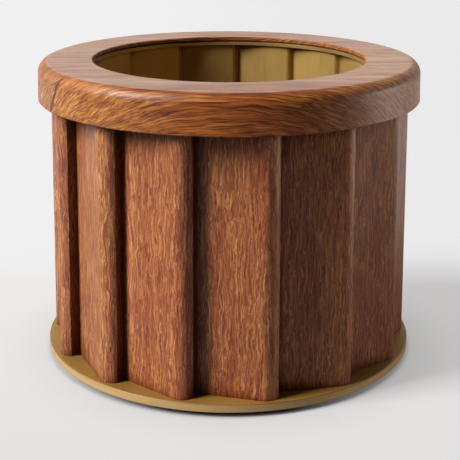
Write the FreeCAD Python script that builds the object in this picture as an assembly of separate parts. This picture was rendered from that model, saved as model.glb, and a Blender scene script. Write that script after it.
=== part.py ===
import FreeCAD, Part
import math
import os

# Driving dimensions, in millimetres, from the opening outwards
pleat_count = 14
opening_radius = 107.5
hoop_setback = 0.5
liner_setback = 3.5
liner_pleat_depth = 4.5
liner_sheet = 1.2
liner_clearance = 1.0
stave_wall = 9.5
pleat_depth = 12.6
wall_flare = 4.6
rim_overhang = 6.9
plate_margin = 3.4

# Driving dimensions from the ground up
foot_height = 4.2
plate_thickness = 6.0
stave_length = 199.4
rim_height = 29.6
rim_lip = 3.0
hoop_gap = 1.0
hoop_height = 3.2
liner_floor_thickness = 2.0

# Where the pleats stand, in degrees about the upright axis
first_crest_angle = -78.6
liner_step_lag = 12.2

# Rim ring
rim_draft = 1.1
rim_edge_radius = 8.5
rim_bevel = 0.8
rim_fit = 0.8

# Staves
nose_radius = 10.5
step_reach_share = 0.86
spline_thickness = 3.0
spline_width = 10.0
spline_end_gap = 4.0
spline_clearance = 0.1
edge_overrun = 3.0

# Liner
liner_nose_radius = 4.0
liner_corner_radius = 1.2
liner_step_run = 3.0
hoop_overlap = 2.5
hoop_bevel = 0.6

# Base plate and foot ring
plate_bevel = 0.7
foot_inset = 9.0
foot_width = 8.0

# Pan-head wood screws under the base plate
screw_count = 7
screw_head_radius = 4.4
screw_head_share = 0.72
screw_shank_radius = 2.2
screw_grip = 24.0
screw_inset = 9.0
screw_socket_radius = 1.6
screw_socket_share = 0.65
screw_plate_clearance = 0.25
screw_pilot_clearance = 0.05

# Radii that follow from the driving dimensions
pitch = 2 * math.pi / pleat_count
liner_nose_circle = opening_radius + liner_setback
liner_corner_circle = liner_nose_circle + liner_pleat_depth
liner_outer_radius = liner_corner_circle + liner_sheet
hoop_inner_radius = opening_radius + hoop_setback
hoop_outer_radius = liner_outer_radius + hoop_overlap
rebate_radius = hoop_outer_radius + rim_fit
stave_back = liner_outer_radius + liner_clearance
stave_heel_radius = stave_back / math.cos(pitch / 2)
valley_radius = stave_heel_radius + stave_wall
crest_radius = valley_radius + pleat_depth
rim_radius = crest_radius + rim_overhang
plate_radius = crest_radius + wall_flare + plate_margin
foot_radius = plate_radius - foot_inset

# Levels that follow from the driving dimensions
plate_bottom = foot_height
plate_top = plate_bottom + plate_thickness
stave_top = plate_top + stave_length
rim_top = stave_top + rim_height
lip_bottom = rim_top - rim_lip
hoop_top = lip_bottom - hoop_gap
hoop_bottom = hoop_top - hoop_height
liner_floor_top = plate_top + liner_floor_thickness

# The crest of a stave stands on its own +X axis, and its two edges lie at these angles
step_angle = math.asin(step_reach_share * nose_radius / (crest_radius - nose_radius))
leading_edge_angle = step_angle
trailing_edge_angle = step_angle - pitch
stave_middle_angle = step_angle - pitch / 2
screw_circle = stave_back + screw_inset
screw_head_height = screw_head_share * foot_height
screw_every = pleat_count // screw_count

up = FreeCAD.Vector(0, 0, 1)
ground = FreeCAD.Vector(0, 0, 0)


def polar(radius, angle, level=0):
    return FreeCAD.Vector(radius * math.cos(angle), radius * math.sin(angle), level)


def section_point(radius, level):
    return FreeCAD.Vector(radius, 0, level)


def line(start, end):
    return Part.LineSegment(start, end).toShape()


def turned(vector, angle):
    cosine = math.cos(angle)
    sine = math.sin(angle)
    return FreeCAD.Vector(vector.x * cosine - vector.y * sine, vector.x * sine + vector.y * cosine, 0)


def rounded_loop(corners, radii):
    """A closed wire through the corners, each rounded by its own radius with a tangent arc."""
    edges = []
    starts = []
    ends = []
    middles = []
    count = len(corners)
    for index in range(count):
        corner = corners[index]
        towards_last = (corners[index - 1] - corner).normalize()
        towards_next = (corners[(index + 1) % count] - corner).normalize()
        radius = radii[index]
        half_angle = towards_last.getAngle(towards_next) / 2
        bisector = (towards_last + towards_next).normalize()
        centre = corner + bisector * (radius / math.sin(half_angle))
        starts.append(corner + towards_last * (radius / math.tan(half_angle)))
        ends.append(corner + towards_next * (radius / math.tan(half_angle)))
        middles.append(centre - bisector * radius)
    for index in range(count):
        if radii[index] > 0:
            edges.append(Part.Arc(starts[index], middles[index], ends[index]).toShape())
        edges.append(line(ends[index], starts[(index + 1) % count]))
    return Part.Wire(edges)


def revolved(section):
    """A ring or disc: a closed section in the XZ plane turned once about the upright axis."""
    return Part.Face(section).revolve(ground, up, 360)


def straight_loop(corners):
    return Part.makePolygon(corners + corners[:1])


def rim_ring():
    corners = [
        section_point(opening_radius, lip_bottom),
        section_point(rebate_radius, lip_bottom),
        section_point(rebate_radius, stave_top),
        section_point(rim_radius + rim_draft - rim_bevel, stave_top),
        section_point(rim_radius + rim_draft, stave_top + rim_bevel),
        section_point(rim_radius, rim_top),
        section_point(opening_radius + rim_bevel, rim_top),
        section_point(opening_radius, rim_top - rim_bevel),
    ]
    radii = [0, 0, 0, 0, 0, rim_edge_radius, 0, 0]
    return revolved(rounded_loop(corners, radii))


def tangent_point(outside, centre, radius):
    """The point where a line from outside touches the circle on its right side."""
    to_centre = centre - outside
    distance = to_centre.Length
    reach = math.sqrt(distance ** 2 - radius ** 2)
    direction = turned(to_centre.normalize(), -math.asin(radius / distance))
    return outside + direction * reach


def groove_points(edge_angle, inward):
    """The notch for a spline in one stave edge, from the heel outwards."""
    middle = (stave_heel_radius + valley_radius) / 2
    half_height = spline_thickness / 2 + spline_clearance
    depth = spline_width / 2 + spline_clearance
    across = turned(polar(inward, edge_angle), math.pi / 2)
    low = polar(middle - half_height, edge_angle)
    high = polar(middle + half_height, edge_angle)
    return [low, low + across * depth, high + across * depth, high]


def leaning_pleat():
    """The outside of a stave: long slope and round nose, leaning outwards to the foot along its step."""
    nose_centre = FreeCAD.Vector(crest_radius - nose_radius, 0, 0)
    crest = FreeCAD.Vector(crest_radius, 0, 0)
    nose_end = FreeCAD.Vector(crest_radius - nose_radius, nose_radius, 0)
    trailing_valley = polar(valley_radius, trailing_edge_angle)
    slope_end = tangent_point(trailing_valley, nose_centre, nose_radius)
    core = stave_back - pleat_depth - wall_flare
    points = [
        nose_end,
        polar(core, leading_edge_angle + pitch / 2),
        polar(core, trailing_edge_angle - pitch / 2),
        trailing_valley + (trailing_valley - slope_end).normalize() * edge_overrun,
        slope_end,
    ]
    edges = [line(start, end) for start, end in zip(points, points[1:])]
    edges.append(Part.Arc(slope_end, crest, nose_end).toShape())
    pleat = Part.Face(Part.Wire(edges)).extrude(polar(wall_flare, leading_edge_angle) - up * stave_length)
    pleat.translate(up * stave_top)
    return pleat


def upright_wedge():
    """A stave before its outside is shaped: flat back and two mitred edges, each grooved for a spline.

    Its leading edge is also the step from the nose down to the next stave.
    """
    reach = rim_radius + plate_radius
    points = [polar(stave_heel_radius, trailing_edge_angle)]
    points += groove_points(trailing_edge_angle, 1)
    points += [polar(reach, trailing_edge_angle), polar(reach, leading_edge_angle)]
    points += groove_points(leading_edge_angle, -1)[::-1]
    points += [polar(stave_heel_radius, leading_edge_angle), points[0]]
    wedge = Part.Face(Part.makePolygon(points)).extrude(up * stave_length)
    wedge.translate(up * plate_top)
    return wedge


def crest_angle(index):
    return first_crest_angle + index * math.degrees(pitch)


def standing(shape, index):
    """A copy of a shape made on the +X axis, turned to the pleat of that number."""
    copy = shape.copy()
    copy.rotate(ground, up, crest_angle(index))
    return copy


def on_screw_axis(radius, bottom, height):
    """An upright cylinder on the axis of one stave's screw."""
    return Part.makeCylinder(radius, height, polar(screw_circle, stave_middle_angle, bottom), up)


def pilot_hole():
    return on_screw_axis(screw_shank_radius + screw_pilot_clearance, plate_top, screw_grip)


def plate_hole():
    return on_screw_axis(screw_shank_radius + screw_plate_clearance, plate_bottom, plate_thickness)


def spline():
    middle = (stave_heel_radius + valley_radius) / 2
    length = stave_length - 2 * spline_end_gap
    corner = FreeCAD.Vector(middle - spline_thickness / 2, -spline_width / 2, plate_top + spline_end_gap)
    tongue = Part.makeBox(spline_thickness, spline_width, length, corner)
    tongue.rotate(ground, up, math.degrees(leading_edge_angle))
    return tongue


def screw():
    head_bottom = plate_bottom - screw_head_height
    head = on_screw_axis(screw_head_radius, head_bottom, screw_head_height)
    shank_length = plate_thickness + screw_grip - screw_pilot_clearance
    shank = on_screw_axis(screw_shank_radius, plate_bottom, shank_length)
    centre = polar(screw_circle, stave_middle_angle, head_bottom)
    corners = [centre + polar(screw_socket_radius, side * math.pi / 3) for side in range(6)]
    socket = Part.Face(straight_loop(corners)).extrude(up * screw_socket_share * screw_head_height)
    return head.fuse(shank).cut(socket)


def base_plate():
    corners = [
        section_point(0, plate_bottom),
        section_point(plate_radius, plate_bottom),
        section_point(plate_radius, plate_top - plate_bevel),
        section_point(plate_radius - plate_bevel, plate_top),
        section_point(0, plate_top),
    ]
    return revolved(straight_loop(corners)).cut(pattern(plate_hole(), screw_every))


def foot_ring():
    corners = [
        section_point(foot_radius - foot_width, 0),
        section_point(foot_radius, 0),
        section_point(foot_radius, plate_bottom),
        section_point(foot_radius - foot_width, plate_bottom),
    ]
    return revolved(straight_loop(corners))


def liner_corners():
    """The liner's inner face in plan: each panel drifts outwards, then steps back in to the next nose."""
    corners = []
    step_turn = liner_step_run / liner_corner_circle
    for index in range(pleat_count):
        nose_angle = math.radians(crest_angle(index) + liner_step_lag)
        corners.append(polar(liner_nose_circle, nose_angle))
        corners.append(polar(liner_corner_circle, nose_angle + pitch - step_turn))
    return corners


def grown(corners, distance):
    """The same outline with every side moved outwards by one distance."""
    count = len(corners)
    moved = []
    for index in range(count):
        before = (corners[index] - corners[index - 1]).normalize()
        after = (corners[(index + 1) % count] - corners[index]).normalize()
        normal_before = turned(before, -math.pi / 2)
        normal_after = turned(after, -math.pi / 2)
        spread = 1 + normal_before.dot(normal_after)
        moved.append(corners[index] + (normal_before + normal_after) * (distance / spread))
    return moved


def liner_wall():
    inner = liner_corners()
    outer = grown(inner, liner_sheet)
    inner_radii = [liner_nose_radius, liner_corner_radius] * pleat_count
    outer_radii = [liner_nose_radius - liner_sheet, liner_corner_radius + liner_sheet] * pleat_count
    wires = [rounded_loop(outer, outer_radii), rounded_loop(inner, inner_radii)]
    section = Part.makeFace(wires, "Part::FaceMakerBullseye")
    shell = section.extrude(up * (hoop_bottom - liner_floor_top))
    shell.translate(up * liner_floor_top)
    return shell


def liner_floor():
    return Part.makeCylinder(liner_outer_radius, liner_floor_thickness, polar(0, 0, plate_top), up)


def liner_hoop():
    corners = [
        section_point(hoop_inner_radius, hoop_bottom),
        section_point(hoop_outer_radius, hoop_bottom),
        section_point(hoop_outer_radius, hoop_top),
        section_point(hoop_inner_radius + hoop_bevel, hoop_top),
        section_point(hoop_inner_radius, hoop_top - hoop_bevel),
    ]
    return revolved(straight_loop(corners))


def pattern(shape, every):
    """A copy of the shape at the first pleat and at each one that many pleats on."""
    return Part.makeCompound([standing(shape, index) for index in range(0, pleat_count, every)])


os.makedirs("parts", exist_ok=True)
nodes = {
    "rim_ring": rim_ring(),
    "base_plate": base_plate(),
    "foot_ring": foot_ring(),
    "liner_wall": liner_wall(),
    "liner_floor": liner_floor(),
    "liner_hoop": liner_hoop(),
    "stave_splines": pattern(spline(), 1),
    "base_screws": pattern(screw(), screw_every),
}
plain_stave = upright_wedge().common(leaning_pleat())
drilled_stave = plain_stave.cut(pilot_hole())
for index in range(pleat_count):
    stave = drilled_stave if index % screw_every == 0 else plain_stave
    nodes[f"stave_{index + 1:02d}"] = standing(stave, index)
for name, shape in nodes.items():
    shape.exportStep(f"parts/{name}.step")
    print(name, shape.isValid(), len(shape.Solids), round(shape.Volume))
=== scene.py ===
import bpy
import math
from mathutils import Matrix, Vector


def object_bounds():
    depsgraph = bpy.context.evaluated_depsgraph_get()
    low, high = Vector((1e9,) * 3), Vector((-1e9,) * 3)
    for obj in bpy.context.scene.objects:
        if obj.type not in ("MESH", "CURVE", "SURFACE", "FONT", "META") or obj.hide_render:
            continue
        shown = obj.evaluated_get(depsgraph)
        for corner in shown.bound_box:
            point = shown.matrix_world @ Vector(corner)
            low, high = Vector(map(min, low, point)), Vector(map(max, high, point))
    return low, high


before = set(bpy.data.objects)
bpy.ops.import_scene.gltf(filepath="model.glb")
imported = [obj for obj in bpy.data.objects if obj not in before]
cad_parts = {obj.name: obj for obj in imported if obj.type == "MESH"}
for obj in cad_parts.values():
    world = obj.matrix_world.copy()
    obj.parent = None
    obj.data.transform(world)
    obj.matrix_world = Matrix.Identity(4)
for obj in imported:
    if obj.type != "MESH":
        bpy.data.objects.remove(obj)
cad_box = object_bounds()

# Camera, in metres and degrees: it looks along +Y, tipped down at the planter
camera_back = 0.8839
camera_height = 0.3851
camera_aside = 0.0011
camera_tip = 18.175
camera_roll = 0.194
camera_lens = 87.51
sensor_width = 36

# Lamps, in metres, degrees and watts
key_azimuth = -159
key_elevation = 38
key_distance = 12.0
key_width = 3.2
key_height = 8.0
key_power = 2900
key_colour = (1.0, 1.0, 1.0)
strip_azimuth = 9
strip_elevation = 0
strip_distance = 3.0
strip_width = 1.2
strip_height = 0.23
strip_power = 26
strip_colour = (1.0, 0.90, 0.80)

# Room: its light from front to back along the Y of a direction, and the white that the camera sees
room_front = -0.5
room_back = 0.7
sky_front_level = 0.04
sky_back_level = 0.30
sheen_front_level = 0.01
sheen_back_level = 0.66
backdrop_colour = (1, 0.993, 1, 1)
backdrop_left_level = 0.880
backdrop_right_level = 0.828
backdrop_half_view = 0.2

# Floor, in metres from the planter's axis
floor_reach = 16.0
floor_colour = (0.228, 0.224, 0.222, 1)
floor_roughness = 0.9
# Reaches of the painted contact shadow
floor_contact = 0.016
floor_near = 0.055
glow_colour = (1.0, 0.985, 0.98, 1)
glow_front_y = -0.25
glow_back_y = 0.45
glow_front_level = 0.470
glow_back_level = 0.580
sheen_front_y = 0.0
sheen_back_y = 0.5
# Where the painted contact shadow lifts at the left and right
side_lift_start = 0.045
side_lift_end = 0.13
side_lift_level = 0.6
# Where painted white covers the floor's shadow behind the planter
fade_start_y = 0.12
fade_end_y = 0.28
fade_clear_start = 0.165
fade_clear_end = 0.215
fade_half_width = 0.22

# Wood and brass, in metres and degrees
tint_half_span = 0.15
stave_valley_reach = 0.030
stave_nose_reach = 0.012
# Heights where the painted highlight on the noses begins
nose_highlight_start = 0.014
nose_highlight_end = 0.040
rim_layer_slope = 45
scarf_slant = 0.473
scarf_place = 0.0258
scarf_half_band = 0.005
brass_fold_reach = 0.008
cloud_stretch = (22, 22, 22)

black = (0, 0, 0)
white = (1, 1, 1)


def grey(level):
    return (level, level, level)


def node(tree, kind, **inputs):
    """A shader node with its unlinked inputs set by name."""
    made = tree.nodes.new(kind)
    for name, value in inputs.items():
        made.inputs[name.replace("_", " ")].default_value = value
    return made


def new_material(name):
    material = bpy.data.materials.new(name)
    material.use_nodes = True
    tree = material.node_tree
    return material, tree, tree.nodes["Principled BSDF"]


def along(tree, vector, stretch):
    """A vector stretched so that a noise on it draws out into fibres."""
    stretched = node(tree, "ShaderNodeMapping", Scale=stretch)
    tree.links.new(vector, stretched.inputs["Vector"])
    return stretched.outputs["Vector"]


def place(tree, stretch=(1, 1, 1), turn=(0, 0, 0)):
    """Object coordinates, turned and then stretched, so that a pattern can run along a fibre."""
    coordinates = node(tree, "ShaderNodeTexCoord")
    turned = node(tree, "ShaderNodeMapping", Rotation=turn)
    tree.links.new(coordinates.outputs["Object"], turned.inputs["Vector"])
    return along(tree, turned.outputs["Vector"], stretch)


def axis(tree, vector, name):
    """One axis of a vector."""
    axes = node(tree, "ShaderNodeSeparateXYZ")
    tree.links.new(vector, axes.inputs[0])
    return axes.outputs[name]


def ranged(tree, value, low, high, to_low=0.0, to_high=1.0, smooth=False):
    """A value carried from one range to another and held at both ends."""
    made = node(tree, "ShaderNodeMapRange", From_Min=low, From_Max=high, To_Min=to_low, To_Max=to_high)
    made.interpolation_type = "SMOOTHSTEP" if smooth else "LINEAR"
    tree.links.new(value, made.inputs["Value"])
    return made.outputs[0]


def combined(tree, operation, *values):
    """Values put through one step of arithmetic."""
    made = node(tree, "ShaderNodeMath")
    made.operation = operation
    for value, socket in zip(values, made.inputs):
        tree.links.new(value, socket)
    return made.outputs[0]


def blended(tree, amount, first, second):
    """Two shaders mixed by an amount."""
    made = node(tree, "ShaderNodeMixShader")
    for value, socket in zip((amount, first, second), made.inputs):
        tree.links.new(value, socket)
    return made.outputs[0]


def noise(tree, vector, detail, roughness=0.5, output="Fac"):
    made = node(tree, "ShaderNodeTexNoise", Scale=1.0, Detail=detail, Roughness=roughness)
    tree.links.new(vector, made.inputs["Vector"])
    return made.outputs[output]


def ramp(tree, value, stops):
    """A colour or grey scale picked by a value, from pairs of place and colour."""
    made = node(tree, "ShaderNodeValToRGB")
    points = made.color_ramp.elements
    while len(points) < len(stops):
        points.new(0.5)
    for point, (where, colour) in zip(points, stops):
        point.position = where
        point.color = (*colour, 1)
    tree.links.new(value, made.inputs["Fac"])
    return made.outputs["Color"]


def mixed(tree, kind, amount, first, second):
    """Two colours mixed by a blend kind. The amount may be a number or a socket."""
    made = node(tree, "ShaderNodeMix")
    made.data_type = "RGBA"
    made.blend_type = kind
    if isinstance(amount, float):
        made.inputs["Factor"].default_value = amount
    else:
        tree.links.new(amount, made.inputs["Factor"])
    tree.links.new(first, made.inputs["A"])
    tree.links.new(second, made.inputs["B"])
    return made.outputs["Result"]


def only_where(tree, amount, tint):
    """A tint that fades to plain white where the amount is nothing."""
    made = node(tree, "ShaderNodeMix")
    made.data_type = "RGBA"
    made.inputs["A"].default_value = (*white, 1)
    tree.links.new(amount, made.inputs["Factor"])
    tree.links.new(tint, made.inputs["B"])
    return made.outputs["Result"]


def tinted(tree, colour, *tints):
    """A colour multiplied by tints in turn."""
    for tint in tints:
        colour = mixed(tree, "MULTIPLY", 1.0, colour, tint)
    return colour


def shaken(tree, vector, shake, amounts):
    """A vector pushed about by a colour noise, by its own amount on each axis."""
    centred = node(tree, "ShaderNodeVectorMath")
    centred.operation = "SUBTRACT"
    centred.inputs[1].default_value = grey(0.5)
    sized = node(tree, "ShaderNodeVectorMath")
    sized.operation = "MULTIPLY"
    sized.inputs[1].default_value = amounts
    moved = node(tree, "ShaderNodeVectorMath")
    moved.operation = "ADD"
    tree.links.new(shake, centred.inputs[0])
    tree.links.new(centred.outputs[0], sized.inputs[0])
    tree.links.new(vector, moved.inputs[0])
    tree.links.new(sized.outputs[0], moved.inputs[1])
    return moved.outputs[0]


def raised(tree, shader, height, distance, strength):
    """A fine relief on a face, by a height."""
    bump = node(tree, "ShaderNodeBump", Strength=strength, Distance=distance)
    tree.links.new(height, bump.inputs["Height"])
    tree.links.new(bump.outputs["Normal"], shader.inputs["Normal"])


def lacquered(shader, shine, weight, roughness):
    """A dull wood under a thin clear coat, which shows as a pale sheen where a face turns away."""
    shader.inputs["Specular IOR Level"].default_value = shine
    shader.inputs["Coat Weight"].default_value = weight
    shader.inputs["Coat Roughness"].default_value = roughness


def left_to_right(tree):
    """0 at the planter's left side and 1 at its right."""
    return ranged(tree, axis(tree, place(tree), "X"), -tint_half_span, tint_half_span)


def facing_up(tree):
    """1 on a level top and 0 on an upright side."""
    facing = node(tree, "ShaderNodeNewGeometry")
    return axis(tree, facing.outputs["Normal"], "Z")


def painted_corner_shade(tree, reach):
    """Painted shade in corners: white on open faces and dark brown where two faces close in."""
    corner = node(tree, "ShaderNodeAmbientOcclusion", Distance=reach)
    return ramp(tree, corner.outputs["AO"], [
        (0.35, (0.23, 0.12, 0.055)),
        (0.62, (0.56, 0.44, 0.36)),
        (0.86, white),
    ])


def painted_nose_highlight(tree, reach, openness):
    """Painted highlight on the staves' noses: a pale tan tint where the wood stands out, on open faces above
    the plate, else white.
    """
    edge = node(tree, "ShaderNodeAmbientOcclusion", Distance=reach)
    edge.inside = True
    edge.only_local = True
    highlight_tint = ramp(tree, edge.outputs["AO"], [(0.60, (1.55, 1.70, 1.90)), (0.95, white)])
    above_plate = ranged(tree, axis(tree, place(tree), "Z"), nose_highlight_start, nose_highlight_end)
    open_face = ramp(tree, openness, [(0.80, black), (0.99, white)])
    return only_where(tree, open_face, only_where(tree, above_plate, highlight_tint))


def stave_wood():
    """Upright interlocked hardwood: short leaning flecks of red-brown and gold with dark pores."""
    wave_stretch = (70, 70, 55)
    wave_push = (0.007, 0.007, 0.0)
    fleck_stretch = (900, 900, 26)
    fibre_stretch = (1900, 1900, 36)
    band_stretch = (90, 90, 7)
    thread_share = 0.7
    streak_share = 0.9
    coat_in_valley = 0.05
    coat_on_face = 0.45
    material, tree, shader = new_material("stave_wood")
    wave = noise(tree, place(tree, wave_stretch), detail=3.0, output="Color")
    leaning = shaken(tree, place(tree), wave, wave_push)
    flecks = noise(tree, along(tree, leaning, fleck_stretch), detail=3.0, roughness=0.6)
    fibres = noise(tree, along(tree, leaning, fibre_stretch), detail=2.0)
    bands = noise(tree, along(tree, leaning, band_stretch), detail=3.0)
    body = ramp(tree, flecks, [
        (0.35, (0.170, 0.046, 0.028)),
        (0.45, (0.290, 0.088, 0.038)),
        (0.55, (0.385, 0.143, 0.049)),
        (0.65, (0.555, 0.256, 0.092)),
    ])
    thread = ramp(tree, fibres, [(0.34, (0.42, 0.36, 0.36)), (0.58, white)])
    streaks = ramp(tree, bands, [
        (0.34, (0.88, 0.68, 0.68)),
        (0.50, (1.0, 0.94, 0.96)),
        (0.66, (1.0, 1.0, 0.76)),
    ])
    # Painted sheen: the staves at the left paler and pinker where the lamp's broad highlight falls, the right
    # ones a little less blue.
    painted_left_sheen = ramp(tree, left_to_right(tree), [
        (0.04, (0.93, 1.08, 1.22)),
        (0.16, (1.06, 1.20, 1.32)),
        (0.30, (1.0, 1.0, 0.97)),
        (1.0, (1.0, 1.0, 0.95)),
    ])
    # Painted shade: darker in the valleys between the staves.
    corner_shade = painted_corner_shade(tree, stave_valley_reach)
    colour = mixed(tree, "MULTIPLY", thread_share, body, thread)
    colour = mixed(tree, "MULTIPLY", streak_share, colour, streaks)
    # Painted sheen, painted highlight on the noses and painted shade in the valleys, in turn.
    colour = tinted(tree, colour, painted_left_sheen, painted_nose_highlight(tree, stave_nose_reach, corner_shade), corner_shade)
    tree.links.new(colour, shader.inputs["Base Color"])
    gloss = ramp(tree, flecks, [(0.3, grey(0.52)), (0.7, grey(0.42))])
    tree.links.new(gloss, shader.inputs["Roughness"])
    lacquered(shader, shine=0.15, weight=coat_on_face, roughness=0.32)
    # The coat thins in the valleys under the painted corner shade, which takes the sheen out of them too.
    coat = ramp(tree, corner_shade, [(0.30, grey(coat_in_valley)), (0.95, grey(coat_on_face))])
    tree.links.new(coat, shader.inputs["Coat Weight"])
    raised(tree, shader, fibres, distance=0.0003, strength=0.25)
    return material


def scarf_joint(tree, across, upward):
    """The slanting glue line on the rim's left side, where the ring's ends meet, and a paler, bluer tint
    beyond it.
    """
    slant = node(tree, "ShaderNodeVectorMath")
    slant.operation = "DOT_PRODUCT"
    slant.inputs[1].default_value = (0, 1, scarf_slant)
    tree.links.new(place(tree), slant.inputs[0])
    band_start, band_end = scarf_place - scarf_half_band, scarf_place + scarf_half_band
    line = ramp(tree, ranged(tree, slant.outputs["Value"], band_start, band_end), [
        (0.30, white),
        (0.42, (0.34, 0.24, 0.20)),
        (0.58, (0.34, 0.24, 0.20)),
        (0.70, (0.97, 1.08, 1.45)),
    ])
    left = ramp(tree, across, [(0.15, white), (0.21, black)])
    upright = ramp(tree, upward, [(0.70, white), (0.90, black)])
    return only_where(tree, tinted(tree, left, upright), line)


def rim_wood():
    """One board turned to a ring: growth layers slope through it and the fibres run along X."""
    wave_stretch = (18, 40, 40)
    wave_push = (0.0, 0.0, 0.008)
    layer_stretch = (30, 90, 1000)
    fleck_stretch = (60, 240, 2300)
    band_stretch = (6, 14, 80)
    growth_stretch = (8, 25, 190)
    thread_share = 0.8
    streak_share = 0.9
    material, tree, shader = new_material("rim_wood")
    across = left_to_right(tree)
    upward = facing_up(tree)
    wave = noise(tree, place(tree, wave_stretch), detail=3.0, output="Color")
    wavy = shaken(tree, place(tree, turn=(math.radians(rim_layer_slope), 0, 0)), wave, wave_push)
    layers = noise(tree, along(tree, wavy, layer_stretch), detail=3.0, roughness=0.55)
    flecks = noise(tree, along(tree, wavy, fleck_stretch), detail=2.0)
    bands = noise(tree, along(tree, wavy, band_stretch), detail=2.0)
    growth = noise(tree, along(tree, wavy, growth_stretch), detail=3.0)
    body = ramp(tree, layers, [
        (0.36, (0.190, 0.052, 0.017)),
        (0.45, (0.300, 0.099, 0.027)),
        (0.55, (0.405, 0.156, 0.038)),
        (0.65, (0.545, 0.250, 0.062)),
    ])
    thread = ramp(tree, flecks, [(0.38, (0.26, 0.17, 0.14)), (0.50, white)])
    streaks = ramp(tree, bands, [
        (0.34, (0.92, 0.74, 0.68)),
        (0.50, (1.0, 0.95, 0.90)),
        (0.66, (1.0, 1.0, 0.84)),
    ])
    # Painted sheen: the level top face paler and greyer.
    painted_top_sheen = ramp(tree, upward, [(0.95, white), (0.975, (1.16, 1.18, 1.25))])
    red_edge = ramp(tree, upward, [
        (0.76, white),
        (0.86, (0.74, 0.54, 0.44)),
        (0.95, (0.70, 0.52, 0.44)),
        (0.975, white),
    ])
    past_scarf = ramp(tree, across, [(0.14, black), (0.28, white), (0.55, grey(0.8)), (0.85, black)])
    heart = ramp(tree, across, [
        (0.18, white),
        (0.42, (0.80, 0.64, 0.38)),
        (0.62, (0.80, 0.64, 0.38)),
        (0.88, white),
    ])
    # Painted sheen on the top face: mixed towards a pale grey that carries a faint grain.
    top_sheen_share = ramp(tree, upward, [(0.95, black), (0.985, grey(0.35))])
    painted_sheen_grey = ramp(tree, growth, [(0.36, (0.31, 0.25, 0.22)), (0.64, (0.57, 0.52, 0.48))])
    colour = mixed(tree, "MULTIPLY", thread_share, body, thread)
    colour = mixed(tree, "MULTIPLY", streak_share, colour, streaks)
    colour = tinted(tree, colour, painted_top_sheen, only_where(tree, past_scarf, red_edge), heart)
    colour = mixed(tree, "MIX", top_sheen_share, colour, painted_sheen_grey)
    colour = tinted(tree, colour, scarf_joint(tree, across, upward))
    tree.links.new(colour, shader.inputs["Base Color"])
    gloss = ramp(tree, flecks, [(0.3, grey(0.50)), (0.7, grey(0.40))])
    tree.links.new(gloss, shader.inputs["Roughness"])
    lacquered(shader, shine=0.32, weight=0.10, roughness=0.45)
    raised(tree, shader, flecks, distance=0.0003, strength=0.2)
    return material


def satin_brass(name, dark, light, brush_stretch, roughness, metal):
    """Brushed and lacquered brass with a faint cloudiness, fine brush lines and painted shade in its folds
    and corners.
    """
    roughness_swing = 0.06
    material, tree, shader = new_material(name)
    clouds = noise(tree, place(tree, cloud_stretch), detail=3.0)
    lines = noise(tree, place(tree, brush_stretch), detail=2.0)
    colour = ramp(tree, clouds, [(0.35, dark), (0.65, light)])
    # Painted shade in the folds and corners.
    colour = tinted(tree, colour, painted_corner_shade(tree, brass_fold_reach))
    tree.links.new(colour, shader.inputs["Base Color"])
    shader.inputs["Metallic"].default_value = metal
    smooth, rough = grey(roughness - roughness_swing), grey(roughness + roughness_swing)
    tree.links.new(ramp(tree, lines, [(0.3, smooth), (0.7, rough)]), shader.inputs["Roughness"])
    raised(tree, shader, lines, distance=0.0001, strength=0.1)
    return material


def liner_brass():
    """The folded liner's sheet, brushed up and down."""
    return satin_brass(
        "liner_brass", dark=(0.370, 0.228, 0.063), light=(0.460, 0.281, 0.078),
        brush_stretch=(900, 900, 20), roughness=0.5, metal=0.5)


def hoop_brass():
    """The hoop's bar, brushed round."""
    return satin_brass(
        "hoop_brass", dark=(0.32, 0.20, 0.065), light=(0.42, 0.28, 0.10),
        brush_stretch=(40, 40, 900), roughness=0.45, metal=0.6)


def plate_brass():
    """A brass disc with a satin face, a paler turned edge with fine tool lines round it, painted shade that
    dulls its bevel, and painted light that pales the face towards its sides.
    """
    tool_line_stretch = (6, 6, 2600)
    material, tree, shader = new_material("plate_brass")
    upward = facing_up(tree)
    clouds = noise(tree, place(tree, cloud_stretch), detail=3.0)
    tool_lines = noise(tree, place(tree, tool_line_stretch), detail=2.0)
    face = ramp(tree, clouds, [(0.35, (0.261, 0.126, 0.0217)), (0.65, (0.331, 0.168, 0.0315))])
    edge = ramp(tree, tool_lines, [(0.3, (0.48, 0.298, 0.124)), (0.7, (0.67, 0.434, 0.190))])
    on_face = ramp(tree, upward, [(0.52, black), (0.62, white)])
    # Painted light: the face paler and greyer towards both sides, most at the right.
    painted_side_light = ramp(tree, left_to_right(tree), [
        (0.02, (1.10, 1.30, 1.70)),
        (0.20, white),
        (0.70, white),
        (0.95, (1.45, 1.75, 2.60)),
    ])
    # Painted shade that dulls the bevel's highlight.
    painted_bevel_shade = ramp(tree, upward, [
        (0.60, white),
        (0.66, (0.66, 0.68, 0.72)),
        (0.82, (0.66, 0.68, 0.72)),
        (0.92, white),
    ])
    colour = mixed(tree, "MIX", on_face, edge, tinted(tree, face, painted_side_light, painted_bevel_shade))
    tree.links.new(colour, shader.inputs["Base Color"])
    shader.inputs["Metallic"].default_value = 0.4
    shader.inputs["Roughness"].default_value = 0.55
    raised(tree, shader, tool_lines, distance=0.0001, strength=0.1)
    return material


def grained(name, stretch, detail, dark, light, roughness, metal=0.0):
    """A plain material that only a fine grain breaks up."""
    material, tree, shader = new_material(name)
    grain = noise(tree, place(tree, stretch), detail)
    tree.links.new(ramp(tree, grain, [(0.3, dark), (0.7, light)]), shader.inputs["Base Color"])
    shader.inputs["Metallic"].default_value = metal
    shader.inputs["Roughness"].default_value = roughness
    return material


def spline_wood():
    """Plain sawn hardwood of the hidden tongues between the staves."""
    return grained(
        "spline_wood", stretch=(500, 500, 20), detail=3.0,
        dark=(0.40, 0.26, 0.13), light=(0.62, 0.46, 0.28), roughness=0.7)


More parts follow.
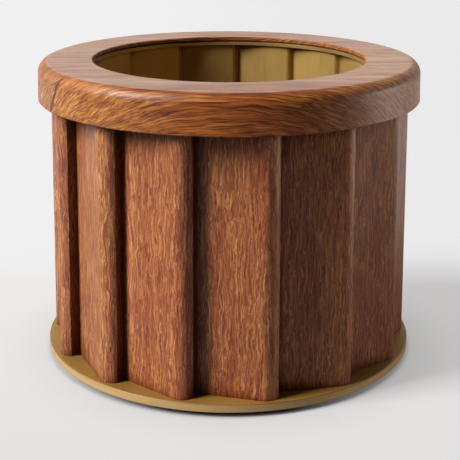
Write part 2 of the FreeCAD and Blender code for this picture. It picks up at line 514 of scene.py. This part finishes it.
def foot_rubber():
    """Matt black rubber of the set-back foot."""
    return grained(
        "foot_rubber", stretch=(900, 900, 900), detail=2.0,
        dark=grey(0.012), light=grey(0.030), roughness=0.85)


def screw_steel():
    """Zinc-plated steel of the screws under the plate."""
    return grained(
        "screw_steel", stretch=(600, 600, 600), detail=3.0,
        dark=(0.42, 0.41, 0.38), light=(0.60, 0.58, 0.54), roughness=0.4, metal=1.0)


def dress(material, *names):
    """Puts a material in the slot of each named CAD node."""
    for name in names:
        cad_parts[name].material_slots[0].material = material


def backdrop_level(tree, across, half_width):
    """The backdrop's white, which falls off from left to right."""
    return ranged(tree, across, -half_width, half_width, backdrop_left_level, backdrop_right_level)


def floor_glow(tree, position, path):
    """White for the camera, and for sheen from behind, that a painted contact shadow dims close to the
    planter.
    """
    depth = axis(tree, position, "Y")
    behind = ranged(tree, depth, sheen_front_y, sheen_back_y, smooth=True)
    to_camera, to_sheen = path.outputs["Is Camera Ray"], path.outputs["Is Glossy Ray"]
    seen = combined(tree, "MULTIPLY_ADD", to_sheen, behind, to_camera)
    level = ranged(tree, depth, glow_front_y, glow_back_y, glow_front_level, glow_back_level)
    # Painted contact shadow: the glow darkens where the plate and planter close over the floor, and lifts
    # again at the sides.
    contact = node(tree, "ShaderNodeAmbientOcclusion", Distance=floor_contact)
    open_floor = ramp(tree, contact.outputs["AO"], [(0.18, black), (0.66, white)])
    aside = combined(tree, "ABSOLUTE", axis(tree, position, "X"))
    side_shade_lift = ranged(tree, aside, side_lift_start, side_lift_end, 0.0, side_lift_level)
    near = node(tree, "ShaderNodeAmbientOcclusion", Distance=floor_near)
    near_floor = ramp(tree, near.outputs["AO"], [(0.45, grey(0.72)), (1.0, white)])
    dimmed = combined(tree, "MULTIPLY", combined(tree, "MAXIMUM", open_floor, side_shade_lift), near_floor)
    return combined(tree, "MULTIPLY", combined(tree, "MULTIPLY", seen, level), dimmed)


def floor_fade_to_backdrop(tree, position, path, shader):
    """Painted light for the camera: behind the planter the floor fades into the backdrop's white, which
    paints over its cast shadow there, but not close to the planter's foot.
    """
    faded = ramp(tree, ranged(tree, axis(tree, position, "Y"), fade_start_y, fade_end_y), [
        (0.0, black),
        (0.20, grey(0.35)),
        (0.50, grey(0.78)),
        (1.0, white),
    ])
    radius = node(tree, "ShaderNodeVectorMath")
    radius.operation = "LENGTH"
    tree.links.new(position, radius.inputs[0])
    clear = ranged(tree, radius.outputs["Value"], fade_clear_start, fade_clear_end)
    seen = combined(tree, "MULTIPLY", combined(tree, "MULTIPLY", faded, clear), path.outputs["Is Camera Ray"])
    backdrop_white = node(tree, "ShaderNodeEmission", Color=backdrop_colour)
    backdrop_white_level = backdrop_level(tree, axis(tree, position, "X"), fade_half_width)
    tree.links.new(backdrop_white_level, backdrop_white.inputs["Strength"])
    return blended(tree, seen, shader.outputs[0], backdrop_white.outputs[0])


def pale_floor():
    """A pale studio floor that takes the shadow and looks white to the camera, with a painted contact shadow
    at the planter's foot and painted white over its cast shadow behind it.
    """
    bpy.ops.object.select_all(action="DESELECT")
    bpy.ops.mesh.primitive_plane_add(size=floor_reach, location=(0, 0, 0))
    floor = bpy.context.object
    floor.name = "floor"
    material, tree, shader = new_material("floor_paper")
    shader.inputs["Base Color"].default_value = floor_colour
    shader.inputs["Roughness"].default_value = floor_roughness
    shader.inputs["Specular IOR Level"].default_value = 0.0
    shader.inputs["Emission Color"].default_value = glow_colour
    position = place(tree)
    path = node(tree, "ShaderNodeLightPath")
    tree.links.new(floor_glow(tree, position, path), shader.inputs["Emission Strength"])
    surface = tree.nodes["Material Output"].inputs["Surface"]
    tree.links.new(floor_fade_to_backdrop(tree, position, path, shader), surface)
    floor.data.materials.append(material)


def studio_world():
    """Soft light from a white wall behind and a dark room in front. The camera sees only the white."""
    world = bpy.data.worlds.new("studio")
    bpy.context.scene.world = world
    world.use_nodes = True
    tree = world.node_tree
    tree.nodes.clear()
    direction = node(tree, "ShaderNodeTexCoord").outputs["Generated"]
    path = node(tree, "ShaderNodeLightPath")

    def background(level, colour=(*white, 1)):
        made = node(tree, "ShaderNodeBackground", Color=colour)
        tree.links.new(level, made.inputs["Strength"])
        return made.outputs[0]

    depth = axis(tree, direction, "Y")
    sky_level = ranged(tree, depth, room_front, room_back, sky_front_level, sky_back_level, smooth=True)
    sheen_level = ranged(tree, depth, room_front, room_back, sheen_front_level, sheen_back_level, smooth=True)
    seen_level = backdrop_level(tree, axis(tree, direction, "X"), backdrop_half_view)
    sky = background(sky_level)
    sheen = background(sheen_level)
    backdrop = background(seen_level, backdrop_colour)
    lit = blended(tree, path.outputs["Is Glossy Ray"], sky, sheen)
    shown = blended(tree, path.outputs["Is Camera Ray"], lit, backdrop)
    tree.links.new(shown, node(tree, "ShaderNodeOutputWorld").inputs["Surface"])


def soft_light(name, azimuth, elevation, distance, size, power, colour):
    """A soft box of a width and a height that stands round the object and faces its middle."""
    side = math.radians(azimuth)
    height = math.radians(elevation)
    away = Vector((math.cos(side) * math.cos(height), math.sin(side) * math.cos(height), math.sin(height)))
    middle = (cad_box[0] + cad_box[1]) / 2
    data = bpy.data.lights.new(name, "AREA")
    data.shape = "RECTANGLE"
    data.size, data.size_y = size
    data.energy = power
    data.color = colour
    lamp = bpy.data.objects.new(name, data)
    bpy.context.scene.collection.objects.link(lamp)
    lamp.location = middle + away * distance
    lamp.rotation_euler = away.to_track_quat("Z", "Y").to_euler()


def key_box():
    """The main lamp, at the left and a little to the front."""
    size = (key_width, key_height)
    soft_light("key_box", key_azimuth, key_elevation, key_distance, size, key_power, key_colour)


def side_strip():
    """A low warm strip at the right, which draws a thin light along the noses."""
    size = (strip_width, strip_height)
    soft_light("side_strip", strip_azimuth, strip_elevation, strip_distance, size, strip_power, strip_colour)


def camera():
    data = bpy.data.cameras.new("camera")
    data.lens = camera_lens
    data.sensor_width = sensor_width
    data.sensor_fit = "HORIZONTAL"
    made = bpy.data.objects.new("camera", data)
    bpy.context.scene.collection.objects.link(made)
    made.location = (camera_aside, -camera_back, camera_height)
    made.rotation_mode = "YXZ"
    made.rotation_euler = (math.radians(90 - camera_tip), 0, 0)
    made.rotation_euler.rotate_axis("Z", math.radians(camera_roll))
    bpy.context.scene.camera = made


staves = [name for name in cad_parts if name.startswith("stave_") and name != "stave_splines"]
dress(stave_wood(), *staves)
dress(rim_wood(), "rim_ring")
dress(spline_wood(), "stave_splines")
dress(liner_brass(), "liner_wall", "liner_floor")
dress(hoop_brass(), "liner_hoop")
dress(plate_brass(), "base_plate")
dress(foot_rubber(), "foot_ring")
dress(screw_steel(), "base_screws")

pale_floor()
studio_world()
key_box()
side_strip()
camera()
bpy.context.scene.view_settings.view_transform = "Standard"
